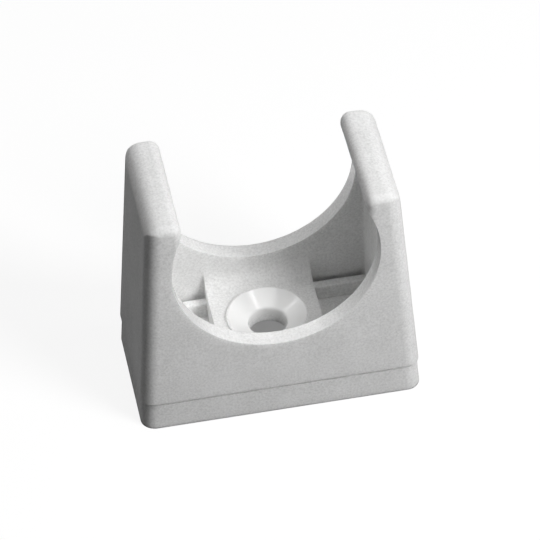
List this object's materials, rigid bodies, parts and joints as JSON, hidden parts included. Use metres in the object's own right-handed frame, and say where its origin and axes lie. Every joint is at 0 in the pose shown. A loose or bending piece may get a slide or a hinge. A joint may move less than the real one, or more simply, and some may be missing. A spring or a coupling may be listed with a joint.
{
  "type": "pipe clip",
  "caption": "Moulded plastic snap-in pipe clip: open round bore between two arms, end plates, dished screw pad on the floor and a flat mounting face.",
  "frame": {"origin": "centre of the mounting face, on the screw's axis", "axes": "+Z away from the wall towards the mouth, +Y along the pipe, +X across the clip"},
  "size_m": [0.044, 0.0232, 0.0399],
  "materials": {
    "clip_plastic": "fine matt moulded surface, white"
  },
  "bodies": {
    "root": {"pipe_clip": "clip_plastic"}
  },
  "joints": []
}
